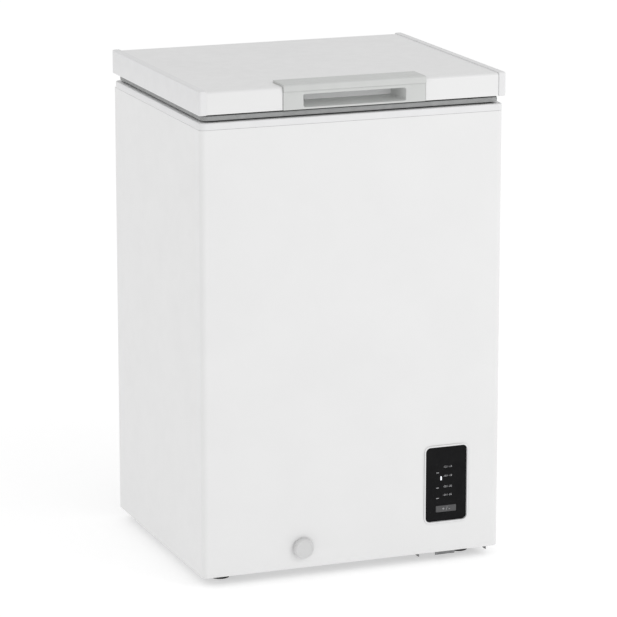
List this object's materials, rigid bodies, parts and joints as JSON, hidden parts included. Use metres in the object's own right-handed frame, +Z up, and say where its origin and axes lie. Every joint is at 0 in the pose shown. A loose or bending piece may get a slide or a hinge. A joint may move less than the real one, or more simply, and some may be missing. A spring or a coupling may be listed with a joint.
{
  "type": "chest freezer",
  "caption": "White chest freezer with a hinged lid, recessed lid grip, front control panel, drain cap, hanging basket and compressor bay.",
  "frame": {"origin": "centre of the bounding box at the floor", "axes": "+Z up; the front with the control panel faces -Y; the control panel is at +X"},
  "size_m": [0.5456, 0.495, 0.85],
  "materials": {
    "white_paint": "satin",
    "white_plastic": "satin",
    "handle_plastic": "satin",
    "gasket_rubber": "matte",
    "liner_aluminium": "satin",
    "foam": "matte",
    "galvanised_steel": "satin",
    "black_paint": "satin",
    "black_plastic": "matte",
    "black_rubber": "matte",
    "panel_glass": "gloss",
    "key_plastic": "satin",
    "lens": "gloss",
    "board": "satin",
    "copper": "satin",
    "spring_steel": "satin",
    "coated_wire": "satin",
    "drain_plastic": "satin"
  },
  "bodies": {
    "cabinet": {"outer_shell": "white_paint", "rear_panel": "galvanised_steel", "base_panel": "galvanised_steel", "top_frame": "white_plastic", "inner_liner": "liner_aluminium", "insulation_foam": "foam", "bay_partition": "galvanised_steel", "drain_tube": "drain_plastic", "control_bezel": "white_plastic", "control_glass": "panel_glass", "indicator_lens": "lens", "control_housing": "white_plastic", "key_switch": "black_plastic", "control_board": "board", "compressor_base_plate": "galvanised_steel", "grommet_1": "black_rubber", "grommet_2": "black_rubber", "grommet_3": "black_rubber", "grommet_4": "black_rubber", "compressor_legs": "black_paint", "compressor_shell": "black_paint", "terminal_cover": "black_plastic", "discharge_tube": "copper", "suction_tube": "copper", "filter_drier": "copper", "capillary_tube": "copper", "evaporator_tube": "copper", "condenser_tube": "copper", "bay_cover": "galvanised_steel", "cord_gland": "black_rubber", "hinge_bracket_left": "galvanised_steel", "hinge_pin_left": "spring_steel", "hinge_spring_left": "spring_steel", "hinge_cover_left": "white_plastic", "hinge_bracket_right": "galvanised_steel", "hinge_pin_right": "spring_steel", "hinge_spring_right": "spring_steel", "hinge_cover_right": "white_plastic"},
    "lid": {"lid_skin": "white_paint", "lid_end_cap_left": "white_plastic", "lid_end_cap_right": "white_plastic", "lid_handle": "handle_plastic", "lid_liner": "white_plastic", "lid_foam": "foam", "lid_gasket": "gasket_rubber", "hinge_arm_left": "galvanised_steel", "hinge_arm_right": "galvanised_steel"},
    "mode_key": {"mode_key": "key_plastic"},
    "drain_cap": {"drain_cap": "white_plastic"},
    "drain_plug": {"drain_plug": "black_rubber"},
    "storage_basket": {"storage_basket": "coated_wire"},
    "foot_front_left": {"foot_front_left": "black_rubber"},
    "foot_front_right": {"foot_front_right": "black_rubber"},
    "foot_rear_left": {"foot_rear_left": "black_rubber"},
    "foot_rear_right": {"foot_rear_right": "black_rubber"}
  },
  "joints": [
    {"name": "lid_hinge", "type": "hinge", "parent": "cabinet", "child": "lid", "pos_m": [0, 0.2315, 0.80025], "axis": [-1, 0, 0], "range_deg": [0, 80], "stiffness_Nm_per_rad": 4, "springref_deg": 74.48},
    {"name": "mode_key_press", "type": "slide", "parent": "cabinet", "child": "mode_key", "axis": [0, 1, 0], "range_m": [0, 0.001], "stiffness_N_per_m": 500, "springref_m": -0.0005},
    {"name": "drain_cap_pull", "type": "slide", "parent": "cabinet", "child": "drain_cap", "axis": [0, -1, 0], "range_m": [0, 0.025]},
    {"name": "drain_plug_lift", "type": "slide", "parent": "cabinet", "child": "drain_plug", "axis": [0, 0, 1], "range_m": [0, 0.03]},
    {"name": "basket_slide", "type": "slide", "parent": "cabinet", "child": "storage_basket", "axis": [1, 0, 0], "range_m": [0, 0.206]},
    {"name": "foot_front_left_turn", "type": "hinge", "parent": "cabinet", "child": "foot_front_left", "pos_m": [-0.22, -0.1765, 0], "axis": [0, 0, 1], "continuous": true},
    {"name": "foot_front_right_turn", "type": "hinge", "parent": "cabinet", "child": "foot_front_right", "pos_m": [0.22, -0.1765, 0], "axis": [0, 0, 1], "continuous": true},
    {"name": "foot_rear_left_turn", "type": "hinge", "parent": "cabinet", "child": "foot_rear_left", "pos_m": [-0.22, 0.1825, 0], "axis": [0, 0, 1], "continuous": true},
    {"name": "foot_rear_right_turn", "type": "hinge", "parent": "cabinet", "child": "foot_rear_right", "pos_m": [0.22, 0.1825, 0], "axis": [0, 0, 1], "continuous": true}
  ]
}
